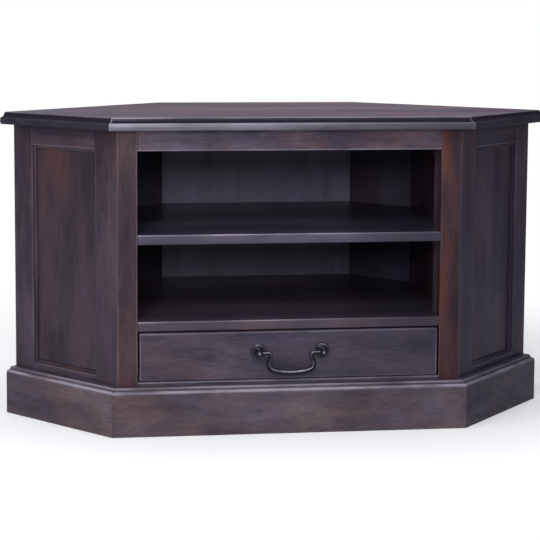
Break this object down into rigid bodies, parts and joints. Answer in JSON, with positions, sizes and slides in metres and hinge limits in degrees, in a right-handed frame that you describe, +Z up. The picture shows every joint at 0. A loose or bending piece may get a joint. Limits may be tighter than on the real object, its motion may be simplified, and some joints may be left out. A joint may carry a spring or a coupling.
{
  "type": "corner tv cabinet",
  "caption": "Low corner cabinet in dark polished wood with a moulded top, open shelf compartments, panelled wings, a moulded plinth and a drawer with a swan-neck bail.",
  "frame": {"origin": "on the floor, under the middle of the cabinet's overall width and depth", "axes": "+X to the right as seen from the front, +Y from the front towards the room's corner, +Z up"},
  "size_m": [0.88, 0.43, 0.48],
  "materials": {
    "polished_top": "dark mahogany stain under satin-gloss lacquer",
    "polished_frame": "dark red-brown mahogany stain under satin-gloss lacquer",
    "polished_panel": "dark mahogany panel under satin-gloss lacquer",
    "polished_plinth": "dark mahogany stain under satin-gloss lacquer, paler on the moulding",
    "inner_board": "near-black mahogany stain, satin lacquer",
    "hidden_wood": "plain sawn softwood, unstained",
    "drawer_lining": "planed pale hardwood, waxed",
    "dark_bronze": "darkened bronze, polished"
  },
  "bodies": {
    "carcass": {"top_board": "polished_top", "front_top_rail": "polished_frame", "front_bottom_rail": "polished_frame", "front_stile_left": "polished_frame", "front_stile_right": "polished_frame", "corner_tongue_left": "hidden_wood", "corner_tongue_right": "hidden_wood", "wing_front_stile_left": "polished_frame", "wing_front_stile_right": "polished_frame", "wing_rear_stile_left": "polished_frame", "wing_rear_stile_right": "polished_frame", "wing_top_rail_left": "polished_frame", "wing_top_rail_right": "polished_frame", "wing_bottom_rail_left": "polished_frame", "wing_bottom_rail_right": "polished_frame", "wing_panel_left": "polished_panel", "wing_panel_right": "polished_panel", "panel_bead_left": "polished_panel", "panel_bead_right": "polished_panel", "plinth_front": "polished_plinth", "plinth_left": "polished_plinth", "plinth_right": "polished_plinth", "middle_shelf": "inner_board", "lower_shelf": "inner_board", "base_board": "hidden_wood", "back_wall_left": "inner_board", "back_wall_right": "inner_board", "back_wall_centre": "inner_board", "top_cleat_front": "hidden_wood", "top_cleat_left": "hidden_wood", "top_cleat_right": "hidden_wood", "base_cleat_front": "hidden_wood", "opening_post_left": "polished_frame", "opening_post_right": "polished_frame", "compartment_side_left": "inner_board", "compartment_side_right": "inner_board", "drawer_runner_left": "hidden_wood", "drawer_runner_right": "hidden_wood", "drawer_guide_left": "hidden_wood", "drawer_guide_right": "hidden_wood", "drawer_stop_left": "hidden_wood", "drawer_stop_right": "hidden_wood"},
    "drawer": {"drawer_front": "polished_frame", "drawer_side_left": "drawer_lining", "drawer_side_right": "drawer_lining", "drawer_back": "drawer_lining", "drawer_bottom": "drawer_lining", "handle_post_left": "dark_bronze", "handle_post_right": "dark_bronze", "handle_bolt_left": "dark_bronze", "handle_bolt_right": "dark_bronze"},
    "bail": {"handle_bail": "dark_bronze"}
  },
  "joints": [
    {"name": "drawer_slide", "type": "slide", "parent": "carcass", "child": "drawer", "axis": [0, -1, 0], "range_m": [0, 0.22]},
    {"name": "bail_swing", "type": "hinge", "parent": "drawer", "child": "bail", "pos_m": [0, -0.1993, 0.1222], "axis": [-1, 0, 0], "range_deg": [-18, 110]}
  ]
}
